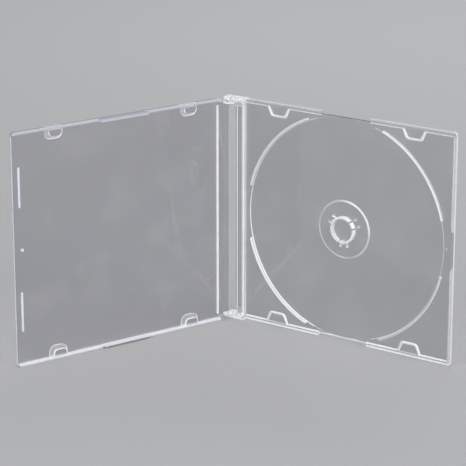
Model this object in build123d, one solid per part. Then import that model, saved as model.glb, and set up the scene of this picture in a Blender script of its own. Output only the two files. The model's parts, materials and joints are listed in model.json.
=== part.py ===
import math
import os

from build123d import *

# Slim disc case in clear plastic: a tray and a lid on one hinge, standing open on its bottom edges.
# Each piece is drawn in the closed case lying flat, in millimetres: X runs from the spine to the
# opening edge, Y from the bottom edge to the top edge, Z from the tray's outer face to the lid's.

# Walls of the closed case
case_thickness = 5.2
tray_floor = 1.2
lid_panel = 1.2

# Disc and the room round it
disc_radius = 60.0
disc_hole_radius = 7.5
disc_thickness = 1.2
disc_clearance = 0.4
hinge_margin = 2.6
opening_margin = 6.0
edge_margin = 2.1

# Gaps between the closed pieces
seat_gap = 0.3
cover_gap = 0.2
side_gap = 0.3

# Standing pose
opening_angle = 108.7
tray_turn = 35.5

# Hinge
pivot_setback = 5.0
ear_length = 12.6
ear_thickness = 2.0
ear_corner = 0.6
arm_gap = 0.25
arm_thickness = 1.3
arm_reach = 5.8
arm_rise = 2.5
arm_shoulder = 4.2
knuckle_gap = 0.3
pin_radius = 1.1
pin_clearance = 0.08
pin_recess = 0.3
pin_chamfer = 0.3
relief_gap = 0.4
relief_side_gap = 1.95
hinge_wall = 1.5
spine_rim_width = 1.8

# Corners and edges of both pieces
corner_radius = 1.5
edge_break = 0.3

# Tray edges
ledge_width = 2.4
ledge_height = 0.4
ledge_slope = 0.8
opening_wall = 1.0
thumb_length = 21.0
thumb_corner = 1.2
notch_length = 30.0
notch_depth = 1.8
notch_corner = 0.8

# Disc seat
recess_depth = 0.25
recess_slope = 0.5
guard_gap = 0.2
guard_width = 1.2
guard_start = 14.5
guard_sweep = 53.0

# Hub
platform_radius = 16.0
platform_height = 0.45
platform_slope = 1.0
hub_clearance = 0.1
hub_wall = 1.2
hub_round = 0.4
finger_count = 3
finger_first_angle = 30.0
finger_width = 3.3
finger_root = 1.8
finger_slit = 0.7
lip_clearance = 0.1
lip_out = 0.35
lip_height = 0.9

# Lid edges
side_wall = 1.4
strip_setback = 1.7
strip_corner = 1.0
shoulder_gap = 1.4
tongue_inset = 0.9
tongue_gap = 0.25
nib_radius = 0.45
nib_offset = 25.7

# Booklet holders on the lid
stop_rib_offset = 0.5
stop_rib_width = 1.0
stop_rib_height = 1.2
stop_rib_margin = 3.6
bar_setback = 3.8
bar_width = 1.1
bar_length = 21.2
bar_height = 0.9
bar_spread = 33.25
tab_offset = 0.4
tab_spread = 41.75
tab_root = 8.0
tab_tip = 7.3
tab_reach = 3.8
tab_thickness = 1.0
tab_corner = 2.2

# Openings of the lid beside the tabs
lid_hole_root = 10.6
lid_hole_tip = 9.2
lid_hole_reach = 5.2
lid_hole_corner = 3.0

# Pockets of the tray that face the tabs, each with a low sloping wall round three sides
pocket_root = 12.2
pocket_tip = 7.4
pocket_reach = 4.8
pocket_corner = 1.5
pocket_depth = 0.5
pocket_wall_height = 0.8
pocket_wall_width = 0.7
pocket_wall_slope = 0.6

# Witness dots left by the moulding, one on each piece near the opening edge
dot_setback = 4.8
dot_radius = 0.9
dot_height = 0.4

# Drawing aids: how far a cutter runs past the material, and when two places count as one
overcut = 1.0
same_place = 0.01

# Sizes, levels and places worked out from the sizes above
recess_radius = disc_radius + disc_clearance
disc_centre = ear_length + hinge_margin + recess_radius
case_length = disc_centre + recess_radius + opening_margin
case_height = 2 * (recess_radius + edge_margin)
mid_height = case_height / 2
lid_inner = case_thickness - lid_panel
ledge_top = tray_floor + ledge_height
ledge_foot = ledge_width + ledge_slope / 2
ledge_brow = ledge_width - ledge_slope / 2
rim_level = ledge_top + seat_gap
wall_top = lid_inner - cover_gap
pivot_level = case_thickness / 2
knuckle_radius = pivot_level - knuckle_gap
arm_side = ear_thickness + arm_gap
arm_inner = arm_side + arm_thickness
lid_start = ear_length + shoulder_gap
tab_centre = disc_centre - tab_offset
recess_level = tray_floor - recess_depth
platform_top = recess_level + platform_height
disc_top = platform_top + disc_thickness
hub_radius = disc_hole_radius - hub_clearance
hub_height = disc_top + lip_clearance + lip_height
pocket_level = tray_floor - pocket_depth
pocket_wall_top = tray_floor + pocket_wall_height
lid_hole = (lid_hole_root, lid_hole_tip, lid_hole_reach, lid_hole_corner)
pocket = (pocket_root, pocket_tip, pocket_reach, pocket_corner)


def block(x0, x1, y0, y1, z0, z1):
    """A box between two corners."""
    return Pos((x0 + x1) / 2, (y0 + y1) / 2, (z0 + z1) / 2) * Box(x1 - x0, y1 - y0, z1 - z0)


def top_and_bottom(piece):
    """The piece and its mirror image about the middle of the case's height."""
    return [piece, piece.mirror(Plane.XZ.offset(-mid_height))]


def moon(root, tip, reach, corner):
    """Outline of a tab or a hole: wide at the edge wall, narrower and rounded at its tip."""
    outline = Polyline((-root / 2, 0), (root / 2, 0), (tip / 2, reach), (-tip / 2, reach), close=True)
    face = make_face(outline)
    return fillet(face.vertices().sort_by(Axis.Y)[-2:], corner)


def moon_block(size, low_growth, high_growth, height):
    """A block on the outline of a hole, grown on three sides by one amount below and one above."""
    root, tip, reach, corner = size
    outlines = [moon(root + 2 * grown, tip + 2 * grown, reach + grown, corner + grown)
                for grown in (low_growth, high_growth)]
    return loft([outlines[0], Pos(0, 0, height) * outlines[1]])


def tab_places():
    """X of the two tabs along one edge."""
    return [tab_centre - tab_spread, tab_centre + tab_spread]


def notch_block(depth, low, high):
    """Cutter as long as the notch in the bottom edge, to a depth and between two levels."""
    half = notch_length / 2
    return block(disc_centre - half, disc_centre + half, -overcut, depth, low, high)


def rounded_outline(start):
    """Outline from a given X to the opening edge, where its two corners are rounded."""
    across = (Align.MIN, Align.CENTER)
    outline = Pos(start, mid_height) * Rectangle(case_length - start, case_height, align=across)
    return fillet(outline.vertices().group_by(Axis.X)[-1], corner_radius)


def soft_bar(x0, x1, y0, y1, z0, z1):
    """A box that is longest along Y, with its two long upper edges broken."""
    bar = block(x0, x1, y0, y1, z0, z1)
    return chamfer(bar.edges().filter_by(Axis.Y).group_by(Axis.Z)[-1], edge_break)


def ahead_of(start, edges):
    """The edges that lie on the opening side of a given X."""
    return edges.filter_by(lambda e: e.center().X > start + same_place)


def tray_slab():
    """Floor with its edge ledges, as far back as the ears."""
    slab = extrude(rounded_outline(ear_length), ledge_top)
    slab = chamfer(ahead_of(ear_length, slab.edges().group_by(Axis.Z)[-1]), edge_break)
    half_section = [(ledge_foot, tray_floor), (ledge_brow, ledge_top), (ledge_brow, case_thickness)]
    far_half = [(case_height - y, z) for y, z in reversed(half_section)]
    section = Plane.YZ * make_face(Polyline(*half_section, *far_half, close=True))
    return slab - Pos(ear_length, 0, 0) * extrude(section, case_length)


def spine_floor():
    """Floor between the ears, with a raised rim along the spine and the hinge rib."""
    low, high = ear_thickness, case_height - ear_thickness
    floor = block(pivot_setback, ear_length, low, high, 0, tray_floor)
    rim = soft_bar(pivot_setback, pivot_setback + spine_rim_width, low, high, 0, ledge_top)
    return floor + rim + soft_bar(ear_length - hinge_wall, ear_length, low, high, 0, wall_top)


def tray_base():
    """Floor, ledges, end walls and the shallow round recess for the disc."""
    recess = upright_cone(recess_radius - recess_slope / 2, recess_slope, recess_depth)
    base = tray_slab() - Pos(disc_centre, mid_height, recess_level) * recess
    base += spine_floor()
    base += opening_end()
    through = notch_block(notch_depth, -overcut, case_thickness)
    ledge_break = notch_block(ledge_foot, tray_floor, case_thickness)
    for cutter in top_and_bottom(through) + top_and_bottom(ledge_break):
        base -= cutter
    corners = base.edges().filter_by(Axis.Z).filter_by(lambda e: at_notch_mouth(e.center()))
    base = fillet(corners, notch_corner)
    return chamfer(ahead_of(ear_length, base.edges().group_by(Axis.Z)[0]), edge_break)


def opening_end():
    """Wall along the opening edge, with the low stretch for a thumb."""
    inner_side = side_wall + side_gap
    wall = soft_bar(case_length - opening_wall, case_length,
                    inner_side, case_height - inner_side, 0, wall_top)
    thumb = block(case_length - 2 * opening_wall, case_length + opening_wall,
                  mid_height - thumb_length / 2, mid_height + thumb_length / 2,
                  ledge_top, case_thickness)
    return wall - fillet(thumb.edges().filter_by(Axis.X).group_by(Axis.Z)[0], thumb_corner)


def at_notch_mouth(point):
    """True on the upright edges where a notch opens in the top or bottom edge."""
    beside_notch = abs(abs(point.X - disc_centre) - notch_length / 2) < same_place
    on_edge = abs(abs(point.Y - mid_height) - mid_height) < same_place
    return beside_notch and on_edge


def ears():
    """The two lugs that carry the lid, with through holes for its pins."""
    ear = block(0, ear_length, 0, ear_thickness, 0, case_thickness)
    ear = fillet(ear.edges().filter_by(Axis.Y).group_by(Axis.X)[0], ear_corner)
    outer_edges = ear.edges().group_by(Axis.Y)[0]
    ear = chamfer(outer_edges.sort_by(Axis.X)[:-1], edge_break)
    hole = Pos(pivot_setback, ear_thickness / 2, pivot_level) * Rot(90, 0, 0)
    ear -= hole * Cylinder(pin_radius + pin_clearance, 2 * ear_thickness)
    return top_and_bottom(ear)


def knuckle_reliefs():
    """Openings in the floor that let the lid's knuckles turn."""
    reach = pivot_setback + arm_shoulder + relief_gap
    inner_side = arm_inner + relief_side_gap
    return top_and_bottom(block(0, reach, ear_thickness, inner_side, -overcut, case_thickness))


def guards():
    """Four arcs that stand round the disc at the corners of the tray, as high as the disc."""
    radius = recess_radius + guard_gap + guard_width / 2
    arc = CenterArc((disc_centre, mid_height), radius, guard_start, guard_sweep)
    guard = extrude(SlotArc(arc, guard_width), disc_top)
    guard = chamfer(guard.edges().group_by(Axis.Z)[-1], edge_break)
    return top_and_bottom(guard) + top_and_bottom(guard.mirror(Plane.YZ.offset(disc_centre)))


def upright_cylinder(radius, height):
    """A cylinder that stands on the level of its own place."""
    return Cylinder(radius, height, align=(Align.CENTER, Align.CENTER, Align.MIN))


def upright_cone(radius, widening, height):
    """A cone that stands on the level of its own place and widens towards its top."""
    return Cone(radius, radius + widening, height, align=(Align.CENTER, Align.CENTER, Align.MIN))


def finger_turns():
    """Turns that carry one spring finger to each of its places round the hub."""
    step = 360 / finger_count
    return [Rot(0, 0, finger_first_angle + index * step) for index in range(finger_count)]


def hub():
    """Platform and ring that the disc snaps onto, with the lips of the spring fingers."""
    platform = upright_cylinder(platform_radius, recess_level)
    platform += Pos(0, 0, recess_level) * upright_cone(platform_radius, -platform_slope, platform_height)
    ring = upright_cylinder(hub_radius, hub_height)
    body = platform + fillet(ring.edges().group_by(Axis.Z)[-1], hub_round)
    for turn in finger_turns():
        body += turn * finger_lip()
    return Pos(disc_centre, mid_height, 0) * body


def finger_lip():
    """The bead at a finger's tip that holds the disc down."""
    bottom = hub_height - lip_height
    middle = bottom + lip_out
    inside = hub_radius - hub_wall / 2
    profile = Polyline((inside, bottom), (hub_radius, bottom), (hub_radius + lip_out, middle),
                       (hub_radius - hub_round, hub_height), (inside, hub_height), close=True)
    bead = revolve(make_face(Plane.XZ * profile), Axis.Z, 360)
    return bead & block(0, 2 * hub_radius, -finger_width / 2, finger_width / 2, 0, case_thickness)


def hub_openings():
    """Bore of the ring, closed by the floor, and the slots that free the spring fingers."""
    openings = Pos(0, 0, recess_level) * upright_cylinder(hub_radius - hub_wall, hub_height)
    for turn in finger_turns():
        openings += turn * finger_slots()
    return Pos(disc_centre, mid_height, 0) * openings


def finger_slots():
    """Slots on three sides of one finger, so that it springs from its outer end."""
    inner = hub_radius - hub_wall - finger_slit
    root = hub_radius + finger_root
    half_slit = finger_slit / 2
    side = finger_width / 2 + half_slit
    cut = block(inner, inner + finger_slit, -side - half_slit, side + half_slit,
                -overcut, case_thickness)
    for y in (-side, side):
        cut += block(inner, root, y - half_slit, y + half_slit, -overcut, case_thickness)
        cut += Pos(root, y, -overcut) * upright_cylinder(finger_slit, overcut + case_thickness)
    return cut


def at_tabs(piece, y, z):
    """Four copies of a piece, one at each tab, a given way in from the edge and up."""
    copies = []
    for x in tab_places():
        copies += top_and_bottom(Pos(x, y, z) * piece)
    return copies


def pocket_walls():
    """Four arched walls beside the ledges, sloping on their outer sides."""
    foot = pocket_wall_width + pocket_wall_slope
    arch = moon_block(pocket, foot, pocket_wall_width, pocket_wall_height)
    return at_tabs(arch, ledge_brow, tray_floor)


def pocket_hollows():
    """Cutters for the four pockets inside those walls, with broken edges at their mouths."""
    hollow = moon_block(pocket, 0, 0, case_thickness)
    mouth = moon_block(pocket, 0, edge_break, edge_break)
    mouth_level = pocket_wall_top - edge_break
    return at_tabs(hollow, ledge_brow, pocket_level) + at_tabs(mouth, ledge_brow, mouth_level)


def make_tray():
    """The whole tray as one moulding."""
    tray = tray_base()
    for piece in pocket_walls():
        tray += piece
    for hollow in pocket_hollows() + knuckle_reliefs():
        tray -= hollow
    for piece in ears() + guards():
        tray += piece
    tray = tray + hub() - hub_openings()
    return tray + Pos(case_length - dot_setback, mid_height, 0) * upright_cylinder(
        dot_radius, tray_floor + dot_height)


def lid_side_walls():
    """Walls along the top and bottom edges, with a set-in tongue that closes the tray's notch."""
    into_panel = lid_inner + lid_panel / 2
    strip = Pos(case_length / 2, side_wall / 2) * Rectangle(case_length, side_wall)
    wall = Pos(0, 0, rim_level) * extrude(rounded_outline(lid_start) & strip, into_panel - rim_level)
    wall = chamfer(ahead_of(lid_start, wall.edges().group_by(Axis.Z)[0]), edge_break)
    wall -= notch_block(tongue_inset, 0, lid_inner)
    half_tongue = notch_length / 2 - side_gap
    tongue = block(disc_centre - half_tongue, disc_centre + half_tongue,
                   tongue_inset, notch_depth - tongue_gap, seat_gap, into_panel)
    nib = Pos(disc_centre + nib_offset, side_wall, rim_level)
    nib *= upright_cylinder(nib_radius, lid_inner - rim_level)
    return top_and_bottom(wall + tongue + nib)


def booklet_holders():
    """Stop rib, two bars and four half-moon tabs that hold a booklet flat against the panel."""
    rib_start = lid_start + stop_rib_offset
    held = [hanging_bar(rib_start, rib_start + stop_rib_width,
                        stop_rib_margin, case_height - stop_rib_margin, stop_rib_height)]
    bar_centre = case_length - bar_setback
    bar_middle = mid_height - bar_spread
    held += top_and_bottom(hanging_bar(bar_centre - bar_width / 2, bar_centre + bar_width / 2,
                                       bar_middle - bar_length / 2, bar_middle + bar_length / 2,
                                       bar_height))
    tab = extrude(moon(tab_root, tab_tip, tab_reach, tab_corner), tab_thickness)
    tab = chamfer(tab.edges().group_by(Axis.Z)[0].sort_by(Axis.Y)[1:], edge_break)
    return held + at_tabs(tab, side_wall, rim_level)


def hanging_bar(x0, x1, y0, y1, height):
    """A bar on the panel's inner face, with its free edges broken."""
    bar = block(x0, x1, y0, y1, lid_inner - height, lid_inner)
    return chamfer(bar.edges().group_by(Axis.Z)[0], edge_break)


def hinge_arms():
    """Plates at the ends of the hinge strip, with the pins that turn in the tray's ears."""
    knuckle = Circle(knuckle_radius)
    top = case_thickness - pivot_level
    strip_under = lid_inner - pivot_level
    plate = make_face(Polyline((strip_setback, top), (arm_reach, top), (arm_reach, strip_under),
                               (arm_shoulder, strip_under - arm_rise), (0, 0), close=True))
    outline = make_hull(knuckle.edges() + plate.edges())
    stand = Pos(pivot_setback, 0, pivot_level) * Rot(90, 0, 0)
    arm = Pos(0, arm_inner, 0) * stand * extrude(outline, arm_thickness)
    pin_length = arm_inner - pin_recess
    pin = upright_cylinder(pin_radius, pin_length)
    pin = chamfer(pin.edges().group_by(Axis.Z)[-1], pin_chamfer)
    return top_and_bottom(arm + Pos(0, arm_inner, 0) * stand * pin)


def lid_outline():
    """Outline of the panel and of the narrower strip that runs to the hinge."""
    strip_start = pivot_setback + strip_setback
    strip = Rectangle(lid_start - strip_start, case_height - 2 * arm_side, align=(Align.MIN, Align.CENTER))
    outline = rounded_outline(lid_start) + Pos(strip_start, mid_height) * strip
    return fillet(outline.vertices().filter_by(lambda v: at_shoulder(v)), strip_corner)


def at_shoulder(point):
    """True at the two inside corners where the strip meets the panel."""
    on_start = abs(point.X - lid_start) < same_place
    return on_start and abs(point.Y - mid_height) < mid_height - arm_side / 2


def make_lid():
    """The whole lid as one moulding."""
    lid = Pos(0, 0, lid_inner) * extrude(lid_outline(), lid_panel)
    lid = chamfer(ahead_of(lid_start, lid.edges().group_by(Axis.Z)[-1]), edge_break)
    end_edge = lid.edges().group_by(Axis.Z)[0].sort_by(Axis.X)[-1]
    lid = chamfer(end_edge, edge_break)
    hole = moon_block(lid_hole, 0, 0, case_thickness)
    mouth = moon_block(lid_hole, edge_break, 0, edge_break)
    for cutter in at_tabs(hole, side_wall, lid_inner - overcut) + at_tabs(mouth, side_wall, lid_inner):
        lid -= cutter
    for piece in lid_side_walls() + booklet_holders() + hinge_arms():
        lid += piece
    return lid + Pos(case_length - dot_setback, mid_height, lid_inner - dot_height) * upright_cylinder(
        dot_radius, dot_height)


def stand_open(tray, lid):
    """Open the lid about its pins, stand the case on its bottom edges and centre it."""
    hinge = Pos(pivot_setback, 0, pivot_level)
    opened = hinge * Rot(0, -opening_angle, 0) * hinge.inverse() * lid
    turn = math.radians(tray_turn)
    along_tray = Vector(math.cos(turn), -math.sin(turn), 0)
    into_case = Vector(-math.sin(turn), -math.cos(turn), 0)
    upright = Plane(origin=(0, 0, 0), x_dir=along_tray, z_dir=into_case).location
    box = Compound([upright * tray, upright * opened]).bounding_box()
    middle = box.center()
    shift = Pos(-middle.X, -middle.Y, -box.min.Z)
    return shift * upright * tray, shift * upright * opened, shift * upright * hinge


os.makedirs("parts", exist_ok=True)
tray_piece, lid_piece, hinge_place = stand_open(make_tray(), make_lid())
for name, piece in (("tray", tray_piece), ("lid", lid_piece)):
    export_step(piece, f"parts/{name}.step")
print("hinge axis passes through", hinge_place.position)
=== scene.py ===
import json
import math

import bpy
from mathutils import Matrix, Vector

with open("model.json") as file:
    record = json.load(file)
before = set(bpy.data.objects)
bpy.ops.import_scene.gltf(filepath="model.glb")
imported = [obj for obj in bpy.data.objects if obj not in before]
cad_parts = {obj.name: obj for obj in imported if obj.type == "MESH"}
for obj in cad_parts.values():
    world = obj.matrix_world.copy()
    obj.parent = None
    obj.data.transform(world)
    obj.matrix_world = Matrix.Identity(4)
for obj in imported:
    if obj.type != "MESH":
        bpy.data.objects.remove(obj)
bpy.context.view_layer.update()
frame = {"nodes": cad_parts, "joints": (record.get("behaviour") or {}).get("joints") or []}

scene = bpy.context.scene
nodes = frame["nodes"]

# The case, in metres. A reach is measured along a panel from the hinge axis, and a distance
# from the middle is measured up or down from half height.
HINGE = tuple(frame["joints"][0]["pos_m"])
CASE_HEIGHT = 0.125
MIDDLE = CASE_HEIGHT / 2
CASE_LENGTH = 0.137  # reach of the opening edge
DISC_CENTRE = 0.0706  # reach of the middle of the disc recess
TAB_MIDDLE = 0.0702  # reach half way between the two tabs of an edge
TAB_SPREAD = 0.04175  # from there to either tab
LID_WALL = 0.0611  # from the middle to the inner side of the lid's side walls
# The core of the hole beside a lid tab, which is the hole less its corner radius of 3 mm:
HOLE_CORE_HALF = 0.0023  # half its width at the wall
HOLE_CORE_DEPTH = 0.0022  # inward from the wall
HOLE_TAPER = -0.135  # change of the half width per metre inward

# Directions at rest, in the plan: along each panel from the hinge, and square to it.
TRAY_TURN = math.radians(-35.5)
LID_TURN = TRAY_TURN - math.radians(108.7)
UP = (0, 0, 1)


def plan(angle):
    return (math.cos(angle), math.sin(angle), 0.0)


TRAY_ALONG, TRAY_FACE = plan(TRAY_TURN), plan(TRAY_TURN - math.pi / 2)
LID_ALONG, LID_FACE = plan(LID_TURN), plan(LID_TURN + math.pi / 2)

# Fades: each is 0 at its first value, 1 at its second, and smooth between.
# By height above the floor:
UPPER_HALF = (0.45 * CASE_HEIGHT, 0.55 * CASE_HEIGHT)
TOP_BORDER = (0.1220, 0.1234)
EAR_TOP = (0.1222, 0.1232)
# By distance from the middle:
BORDER = (0.0605, 0.0609)
OUTERMOST_SIDES = (0.0618, 0.0622)
RIM_TINT_START = (0.0600, 0.0606)
LUG_ROWS = (0.0575, 0.0585)
LID_TAB_ROWS = (0.0569, 0.0573)
TRAY_STRIP = (0.0612, 0.0615)
NOTCH_ROWS = (0.0570, 0.0580)
MOUTH_ROWS = (0.0602, 0.0604)
# By reach:
LUG_END = (0.0078, 0.0072)
EAR_END = (0.0104, 0.0096)
STOP_RIB_END = (0.0115, 0.0105)
TABS_START = (0.012, 0.013)
RIB_START, RIB_END = (0.0072, 0.0075), (0.0080, 0.0077)
OPENING_TINT_START = (0.1315, 0.1322)
LID_EDGE = (CASE_LENGTH - 0.0006, CASE_LENGTH - 0.0003)
TRAY_WALL = (CASE_LENGTH - 0.0016, CASE_LENGTH - 0.0012)
# By radius from the disc's centre:
HUB_SLOTS_END = (0.0078, 0.0074)
HUB_LIPS_END = (0.0088, 0.0084)
RING_START, RING_END = (0.0145, 0.0149), (0.0163, 0.0161)
SLOPE_START, SLOPE_END = (0.0595, 0.0600), (0.0609, 0.0607)
GUARD_START, GUARD_END = (0.0603, 0.0605), (0.0621, 0.0619)
GUARD_INNER_HALF = (0.0609, 0.0607)
GUARD_EDGE, GUARD_EDGE_ABOVE = (0.0613, 0.0615), (0.0611, 0.0613)
# By distance along the tray from the disc's centre:
NOTCH_SPAN = (0.0195, 0.0175)
MOUTH_SPAN = (0.0155, 0.0150)
# By distance from the core of a hole beside a lid tab, by distance along the lid from its
# middle, and by distance inward from the wall:
HOLE_LINE_START, HOLE_LINE_END = (0.0029, 0.0031), (0.0036, 0.0034)
HOLE_FAR_SIDE = (-0.0035, -0.0015)
HOLE_PAST_WALL = (0.0, 0.0002)
# By level, square to a panel from the hinge axis towards the inside of the case: where the
# plastic starts to stand up from the panel, and what lies below the hub's platform.
TRAY_RAISED = (-0.00095, -0.0007)
LID_RAISED = (-0.0013, -0.001)
BELOW_PLATFORM = (-0.0013, -0.0016)
# By how squarely the surface faces a direction, from 0 to 1:
FACES_IT = (0.85, 0.95)
FLAT_ON_PANEL = (0.9, 0.985)
SQUARE_TO_PANEL = (0.5, 0.3)
# By the square of the slant towards the upper right or the lower left, where the painted
# highlight falls, from 0 to 2:
HIGHLIGHT_SLANT = (0.5, 1.5)

# Noise, in repeats per metre
CLOUD_SCALE, GRAIN_SCALE, SPECK_SCALE, PATCH_SCALE = 300.0, 1500.0, 750.0, 45.0
SCRATCH_SCALES = ((900.0, 12.0), (12.0, 700.0))  # along the panel and up, for two directions
SCRATCH_LEVEL_SCALE = 900.0  # square to the panel
# Fades of the noise, from 0 to 1, and of its distance from 0.5 for the scratches
CLOUDY, SPECKLED = (0.3, 0.7), (0.38, 0.5)
HAZY, SCRATCHED = (0.4, 0.7), (0.5, 0.62)
SCRATCH_LINE = (0.006, 0.001)

# Plastic
POLYSTYRENE_IOR = 1.59
POLISHED, GLOW_ROUGHNESS = 0.02, 0.25  # roughness
SHADE_TINT = (0.74, 0.74, 0.75)
BUMP_HEIGHT = 0.0003
LUG_GRAIN, RIPPLE = 0.9, 0.01  # strength of the bump

# Whites, from 0, clear, to 1, white. The white is painted light: a matte white that stands in for
# the light which the clear plastic pipes to its walls, ribs and edges, apart from the grained
# lugs and the handling marks, which are white in themselves. MORE and LESS are added to the white
# or the share that is named before them, and CLEARER is the share of a side's white that is
# taken away.
SIDES, WALL_SIDES_LESS = 0.95, -0.5
LUGS = 0.98
LID_FACES, STOP_RIB_MORE = 0.8, 0.15
HOLE_HIGHLIGHTS = 0.85
LID_BORDER = 0.2
LID_EDGE_CLEARER = 0.35
TRAY_FACES = 0.58
TRAY_BORDER = 0.1
STRIP, STRIP_ABOVE_LESS = 0.9, -0.6
RIB_SIDE_CLEARER = 0.45
HUB_SLOTS_CLEARER = 0.8
GUARD_SIDES_CLEARER = 0.88
SLOPES_CLEARER, RING_MORE, HIGHLIGHT_LESS = 0.45, 0.12, -0.4
NOTCHES_CLEARER = 0.85
MOUTHS = 0.6
SPECKS, SPECKS_ABOVE_MORE = -0.22, -0.25
CLOUDS, CLOUDS_MORE = 0.93, 0.08
HAZE, HAZE_MORE, SCRATCHES_MORE = 0.012, 0.02, 0.12

# Shares of the white of the tray's raised faces: what the hub adds, what a guard adds along
# its outer edge above and where it gets its painted highlight, and what all of a guard loses.
HUB_MORE = 0.5
GUARD_EDGE_MORE, GUARD_HIGHLIGHT_MORE, GUARD_LOSES = 1.35, 1.25, 0.75
# The share of the rim's tint that the outer border takes on below. Above, it takes on all.
RIM_TINT_BELOW = 0.4


class Tree:
    """Short calls for building one material's or world's node tree."""

    def __init__(self, tree):
        self.tree = tree
        tree.nodes.clear()

    def add(self, kind, inputs=None, **settings):
        node = self.tree.nodes.new(kind)
        for key, value in settings.items():
            setattr(node, key, value)
        for key, value in (inputs or {}).items():
            socket = node.inputs[key]
            if isinstance(value, bpy.types.NodeSocket):
                self.tree.links.new(value, socket)
            else:
                socket.default_value = value
        return node

    def math(self, operation, a, b=0.0, c=0.0):
        return self.add("ShaderNodeMath", {0: a, 1: b, 2: c}, operation=operation).outputs[0]

    def minus(self, a, b):
        return self.math("SUBTRACT", a, b)

    def size(self, a):
        """The value without its sign."""
        return self.math("ABSOLUTE", a)

    def without(self, mask):
        return self.math("SUBTRACT", 1.0, mask)

    def scaled(self, value, factor, plus):
        return self.math("MULTIPLY_ADD", value, factor, plus)

    def times(self, first, *others):
        for other in others:
            first = self.math("MULTIPLY", first, other)
        return first

    def most(self, first, *others):
        """The largest of the values."""
        for other in others:
            first = self.math("MAXIMUM", first, other)
        return first

    def length(self, a, b):
        return self.math("SQRT", self.scaled(a, a, self.times(b, b)))

    def dot(self, a, b):
        node = self.add("ShaderNodeVectorMath", {0: a, 1: b}, operation="DOT_PRODUCT")
        return node.outputs["Value"]

    def step(self, value, fade):
        """0 at the fade's first value, 1 at its second, smooth between."""
        zero_at, one_at = fade
        node = self.add("ShaderNodeMapRange",
                        {"Value": value, "From Min": zero_at, "From Max": one_at},
                        interpolation_type="SMOOTHSTEP")
        return node.outputs["Result"]

    def band(self, value, start, end):
        return self.times(self.step(value, start), self.step(value, end))

    def noise(self, vector, scale, detail):
        node = self.add("ShaderNodeTexNoise", {"Vector": vector, "Scale": scale, "Detail": detail,
                                               "Roughness": 0.5})
        return node.outputs["Fac"]


class Surface:
    """Where a point of a panel's surface lies, how it is turned, and the masks of both panels."""

    def __init__(self, t, face, along, raised):
        coords = t.add("ShaderNodeTexCoord")
        self.place = t.add("ShaderNodeVectorMath", {0: coords.outputs["Object"], 1: HINGE},
                           operation="SUBTRACT").outputs[0]
        self.level = t.dot(self.place, face)
        self.reach = t.dot(self.place, along)
        self.height = t.add("ShaderNodeSeparateXYZ", {0: self.place}).outputs["Z"]
        self.from_middle = t.size(t.minus(self.height, MIDDLE))

        self.tree, self.normal, self.along = t, coords.outputs["Normal"], along
        self.flatness = self.facing(face)
        self.edge = t.without(t.step(self.flatness, FLAT_ON_PANEL))
        self.stands = t.step(self.level, raised)
        self.above = t.step(self.height, UPPER_HALF)
        self.at_border = t.step(self.from_middle, BORDER)
        self.at_lug = t.times(t.step(self.reach, LUG_END), t.step(self.from_middle, LUG_ROWS))

    def facing(self, direction):
        """How squarely the surface faces a direction or its opposite."""
        return self.tree.size(self.tree.dot(self.normal, direction))


def whiten_lid(t, at):
    """How white the lid's raised faces, border and sides are, and which sides are clearer."""
    # The flat faces of the four tabs stay clear, the ribs, bars and side walls don't. The
    # stop rib is the whitest.
    tabs = t.times(t.step(at.from_middle, LID_TAB_ROWS), t.step(at.reach, TABS_START),
                   t.without(at.at_border))
    stop_rib = t.step(at.reach, STOP_RIB_END)
    faces = t.times(t.minus(at.stands, tabs), t.scaled(stop_rib, STOP_RIB_MORE, LID_FACES))

    # Painted highlight: a bright line on the panel along the far side of the holes beside the two
    # lower tabs, where the lit wall of a hole would show through the panel.
    from_tabs = t.minus(at.reach, TAB_MIDDLE)
    beside = t.minus(from_tabs, t.times(t.math("SIGN", from_tabs), TAB_SPREAD))
    inward = t.minus(LID_WALL, at.from_middle)
    core_half = t.scaled(inward, HOLE_TAPER, HOLE_CORE_HALF)
    past_side = t.most(t.minus(t.size(beside), core_half), 0.0)
    past_end = t.most(t.minus(inward, HOLE_CORE_DEPTH), 0.0)
    line = t.band(t.length(past_side, past_end), HOLE_LINE_START, HOLE_LINE_END)
    line = t.times(line, t.step(beside, HOLE_FAR_SIDE), t.step(inward, HOLE_PAST_WALL))
    faces = t.most(faces, t.times(line, t.minus(HOLE_HIGHLIGHTS, at.above)))

    # The end of the panel along the opening edge is clearer.
    border = t.times(at.at_border, LID_BORDER)
    sides = t.times(at.edge, SIDES)
    clearer = t.times(t.step(at.reach, LID_EDGE), LID_EDGE_CLEARER)
    return faces, border, sides, clearer


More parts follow.
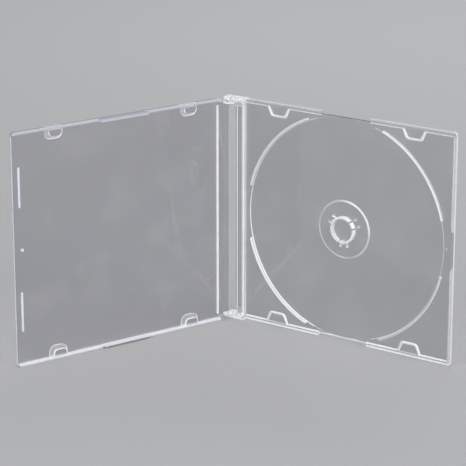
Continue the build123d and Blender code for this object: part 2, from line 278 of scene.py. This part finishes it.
def whiten_tray(t, at):
    """How white the tray's raised faces, border and sides are, and which sides are clearer."""
    # The wall along the opening edge is clearer than the end of the panel under it, and so
    # is the side of the hinge rib.
    wall = t.times(t.step(at.reach, TRAY_WALL), at.stands)
    faces = t.times(t.minus(at.stands, wall), TRAY_FACES)
    # Painted light: a white strip along the outermost edge of the border, much whiter along the
    # bottom than along the top, as light piped down the panel would make it.
    glow_strip = t.times(t.step(at.from_middle, TRAY_STRIP),
                    t.scaled(at.above, STRIP_ABOVE_LESS, STRIP))
    border = t.scaled(at.at_border, TRAY_BORDER, glow_strip)
    sides = t.times(at.edge, t.scaled(wall, WALL_SIDES_LESS, SIDES))
    rib_side = t.times(t.step(at.facing(at.along), FACES_IT),
                       t.band(at.reach, RIB_START, RIB_END))
    clearer = t.times(rib_side, RIB_SIDE_CLEARER)

    # The top of the tray's ear, up to the hinge rib, is as white as the lug.
    ear_top = t.times(t.step(at.reach, EAR_END), t.step(at.height, EAR_TOP))
    at.at_lug = t.most(at.at_lug, ear_top)

    # Painted highlight: the round forms are shaded as if the light caught them at the upper right
    # and the lower left.
    right = t.minus(at.reach, DISC_CENTRE)
    up = t.minus(at.height, MIDDLE)
    radius = t.length(right, up)
    slant = t.math("DIVIDE", t.math("ADD", right, up), radius)
    painted_highlight = t.step(t.times(slant, slant), HIGHLIGHT_SLANT)

    # The hub is the whitest form, apart from the slots inside its ring, below the platform.
    faces = t.times(faces, t.scaled(t.step(radius, HUB_LIPS_END), HUB_MORE, 1.0))
    in_slots = t.times(t.step(radius, HUB_SLOTS_END), t.step(at.level, BELOW_PLATFORM))
    clearer = t.most(clearer, t.times(in_slots, HUB_SLOTS_CLEARER))

    # A guard's top is white and its sides are clear where the painted highlight falls. Elsewhere
    # its outer edge is a white line, which is wider and brighter on the upper half.
    guard = t.times(t.band(radius, GUARD_START, GUARD_END), at.stands)
    edge_above = t.times(at.above, t.step(radius, GUARD_EDGE_ABOVE), GUARD_EDGE_MORE)
    top = t.most(t.times(painted_highlight, GUARD_HIGHLIGHT_MORE), edge_above, t.step(radius, GUARD_EDGE))
    faces = t.times(faces, t.scaled(guard, t.minus(top, GUARD_LOSES), 1.0))
    clear_side = t.times(t.most(t.step(radius, GUARD_INNER_HALF), painted_highlight),
                         t.step(at.flatness, SQUARE_TO_PANEL))
    guard_side = t.times(guard, clear_side, GUARD_SIDES_CLEARER)
    faces = t.times(faces, t.without(guard_side))
    clearer = t.most(clearer, guard_side)

    # The slopes of the recess and the platform are clearer where the painted highlight doesn't
    # fall.
    slope = t.times(t.band(radius, SLOPE_START, SLOPE_END), t.without(at.stands))
    ring = t.band(radius, RING_START, RING_END)
    slopes = t.scaled(painted_highlight, HIGHLIGHT_LESS, t.scaled(ring, RING_MORE, SLOPES_CLEARER))
    clearer = t.most(clearer, t.times(t.most(slope, ring), slopes))

    # Along the notches only the lower edge of the panel shows as a line.
    aside = t.size(right)
    near_notch = t.times(t.step(aside, NOTCH_SPAN), t.step(at.from_middle, NOTCH_ROWS))
    mouth = t.times(t.step(aside, MOUTH_SPAN), t.step(at.from_middle, MOUTH_ROWS))
    fades = t.most(t.times(near_notch, slope), t.times(mouth, at.above))
    clearer = t.most(clearer, t.times(fades, NOTCHES_CLEARER))
    border = t.most(border, t.times(t.minus(mouth, at.above), MOUTHS))
    return faces, border, sides, clearer


def handling_marks(t, at):
    """How white hairline scratches and a faint haze from handling make the plastic."""
    scratch = 0.0
    for per_reach, per_height in SCRATCH_SCALES:
        run = t.add("ShaderNodeCombineXYZ", {0: t.times(at.reach, per_reach),
                                             1: t.times(at.height, per_height),
                                             2: t.times(at.level, SCRATCH_LEVEL_SCALE)}).outputs[0]
        from_line = t.size(t.minus(t.noise(run, 1.0, detail=1.0), 0.5))
        scratch = t.most(scratch, t.step(from_line, SCRATCH_LINE))
    patchy = t.noise(at.place, PATCH_SCALE, detail=3.0)
    haze = t.scaled(t.step(patchy, HAZY), HAZE_MORE, HAZE)
    return t.scaled(t.times(scratch, t.step(patchy, SCRATCHED)), SCRATCHES_MORE, haze)


def clear_plastic(name, whiten, face, along, raised, glass_tint, edge_tint, rim_tint,
                  outer_side_clearer, top_border_shade):
    """Clear polystyrene: polished see-through panels, with painted light on the walls, ribs and
    edges: a matte white mixed in, which stands in for the light that the clear plastic pipes to
    them.

    whiten gives the whites of the piece's own forms, face points square to the panel,
    raised is the fade of the level at which the plastic starts to stand up from it,
    rim_tint is the white of the outer border, and the last two change the outermost top and
    bottom sides and the painted shade of the border along the top.
    """
    material = bpy.data.materials.new(name)
    material.use_nodes = True
    t = Tree(material.node_tree)
    at = Surface(t, face, along, raised)
    faces, border, sides, clearer = whiten(t, at)

    # The outermost top and bottom sides let more light through, but not those of the lugs.
    outermost = t.times(t.step(at.facing(UP), FACES_IT),
                        t.step(at.from_middle, OUTERMOST_SIDES), t.without(at.at_lug))
    clearer = t.most(clearer, t.times(outermost, outer_side_clearer))
    sides = t.times(sides, t.without(clearer))
    lug = t.times(at.at_lug, t.most(at.stands, at.edge))
    white = t.most(sides, faces, border, t.times(lug, LUGS))
    # Painted shade: the border along the top is clearer, and so darker, than the one along the
    # bottom, which keeps more of the white that stands in for light piped down from above.
    top_border = t.times(t.step(at.height, TOP_BORDER), t.without(at.at_lug))
    white = t.times(white, t.scaled(top_border, top_border_shade, 1.0))
    cloud = t.noise(at.place, CLOUD_SCALE, detail=3.0)
    white = t.times(white, t.scaled(t.step(cloud, CLOUDY), CLOUDS_MORE, CLOUDS))
    white = t.most(white, handling_marks(t, at))

    # Specks and grain on the hinge lugs, stronger specks on the upper ones, and only a faint
    # ripple elsewhere.
    specks = t.without(t.step(t.noise(at.place, SPECK_SCALE, detail=2.0), SPECKLED))
    specks = t.times(specks, t.scaled(at.above, SPECKS_ABOVE_MORE, SPECKS))
    white = t.times(white, t.scaled(lug, specks, 1.0))
    bump = t.add("ShaderNodeBump", {"Height": t.noise(at.place, GRAIN_SCALE, detail=2.0),
                                    "Strength": t.scaled(lug, LUG_GRAIN, RIPPLE),
                                    "Distance": BUMP_HEIGHT}).outputs[0]

    glass = t.add("ShaderNodeBsdfPrincipled", {
        "Base Color": (*glass_tint, 1), "Roughness": POLISHED, "IOR": POLYSTYRENE_IOR,
        "Transmission Weight": 1.0, "Normal": bump}).outputs[0]
    tinted = t.scaled(at.above, 1.0 - RIM_TINT_BELOW, RIM_TINT_BELOW)
    rim = t.most(t.times(t.step(at.from_middle, RIM_TINT_START), tinted),
                 t.step(at.reach, OPENING_TINT_START))
    tint = t.add("ShaderNodeMix", {0: rim, 6: (*edge_tint, 1), 7: (*rim_tint, 1)},
                 data_type="RGBA").outputs[2]
    # Painted light: the matte white that stands in for light piped through the clear plastic to
    # its edges.
    painted_glow = t.add("ShaderNodeBsdfPrincipled", {
        "Base Color": tint, "Roughness": GLOW_ROUGHNESS, "IOR": POLYSTYRENE_IOR,
        "Normal": bump}).outputs[0]
    body = t.add("ShaderNodeMixShader", {0: white, 1: glass, 2: painted_glow}).outputs[0]

    # The clear plastic casts a pale shadow, and where the painted white covers it, a full one.
    shade = t.add("ShaderNodeBsdfTransparent", {"Color": (*SHADE_TINT, 1)}).outputs[0]
    rays = t.add("ShaderNodeLightPath")
    lets_light = t.times(rays.outputs["Is Shadow Ray"], t.without(white))
    both = t.add("ShaderNodeMixShader", {0: lets_light, 1: body, 2: shade}).outputs[0]
    t.add("ShaderNodeOutputMaterial", {"Surface": both})
    return material


def dress(node, material):
    piece = nodes[node]
    piece.data.materials.clear()
    piece.data.materials.append(material)


dress("tray", clear_plastic("clear_tray", whiten_tray, TRAY_FACE, TRAY_ALONG, TRAY_RAISED,
                            glass_tint=(0.68, 0.69, 0.7), edge_tint=(0.95, 0.955, 0.96),
                            rim_tint=(0.93, 0.935, 0.95), outer_side_clearer=0.5,
                            top_border_shade=-0.3))
dress("lid", clear_plastic("clear_lid", whiten_lid, LID_FACE, LID_ALONG, LID_RAISED,
                           glass_tint=(0.67, 0.67, 0.7), edge_tint=(0.95, 0.95, 0.96),
                           rim_tint=(0.84, 0.84, 0.95), outer_side_clearer=0.55,
                           top_border_shade=-0.45))

# Floor
PALE = (0.5, 0.5, 0.505, 1)
FLOOR_HALF = 6.0


def plain_floor(name):
    material = bpy.data.materials.new(name)
    material.use_nodes = True
    t = Tree(material.node_tree)
    paint = t.add("ShaderNodeBsdfPrincipled", {"Base Color": PALE, "Roughness": 0.6,
                                               "Specular IOR Level": 0.0})
    t.add("ShaderNodeOutputMaterial", {"Surface": paint.outputs[0]})
    return material


corners = [(x * FLOOR_HALF, y * FLOOR_HALF, 0) for x, y in ((-1, -1), (1, -1), (1, 1), (-1, 1))]
mesh = bpy.data.meshes.new("floor")
mesh.from_pydata(corners, [], [(0, 1, 2, 3)])
floor = bpy.data.objects.new("floor", mesh)
scene.collection.objects.link(floor)
floor.data.materials.append(plain_floor("pale_floor"))

# Lights
LAMPS_AIM = Vector((0, 0, 0.05))


def softbox(name, place, size, power):
    """A lamp that lights the case from place, in watts, and isn't seen itself."""
    light = bpy.data.lights.new(name, "AREA")
    light.shape = "RECTANGLE"
    light.size, light.size_y = size
    light.energy = power
    lamp = bpy.data.objects.new(name, light)
    lamp.location = place
    lamp.rotation_euler = (LAMPS_AIM - Vector(place)).to_track_quat("-Z", "Y").to_euler()
    lamp.visible_camera = False
    lamp.visible_transmission = False
    scene.collection.objects.link(lamp)


softbox("key", (-0.9, -0.95, 1.1), (0.8, 0.8), 6.5)
softbox("fill", (1.1, -0.95, 0.95), (0.8, 0.8), 7.5)
softbox("front", (0.0, -2.4, 0.55), (1.6, 0.95), 23.5)
softbox("rim", (0.3, 1.1, 0.9), (1.2, 0.4), 6.0)

# The world is the floor's colour where it is seen, mirrored or looked through, and lights
# the case more dimly.
world = bpy.data.worlds.new("studio")
world.use_nodes = True
t = Tree(world.node_tree)
rays = t.add("ShaderNodeLightPath")
seen = t.most(rays.outputs["Is Camera Ray"], rays.outputs["Is Transmission Ray"],
              rays.outputs["Is Glossy Ray"])
dim = t.add("ShaderNodeBackground", {"Color": (0.95, 0.97, 1.0, 1), "Strength": 0.42})
pale = t.add("ShaderNodeBackground", {"Color": PALE, "Strength": 1.0})
mix = t.add("ShaderNodeMixShader", {0: seen, 1: dim.outputs[0], 2: pale.outputs[0]})
t.add("ShaderNodeOutputWorld", {"Surface": mix.outputs[0]})
scene.world = world

# The camera, fitted to the corners of the case in the photo
CAMERA_PLACE = Vector((-0.000485, -1.09351, 0.3939))
CAMERA_AIM = Vector((-0.000485, 0.04287, 0.04681))
camera = bpy.data.objects.new("camera", bpy.data.cameras.new("camera"))
camera.location = CAMERA_PLACE
camera.rotation_euler = (CAMERA_AIM - CAMERA_PLACE).to_track_quat("-Z", "Y").to_euler()
camera.data.sensor_width = 36.0
camera.data.lens = 167.2
scene.collection.objects.link(camera)
scene.camera = camera

scene.view_settings.view_transform = "Standard"
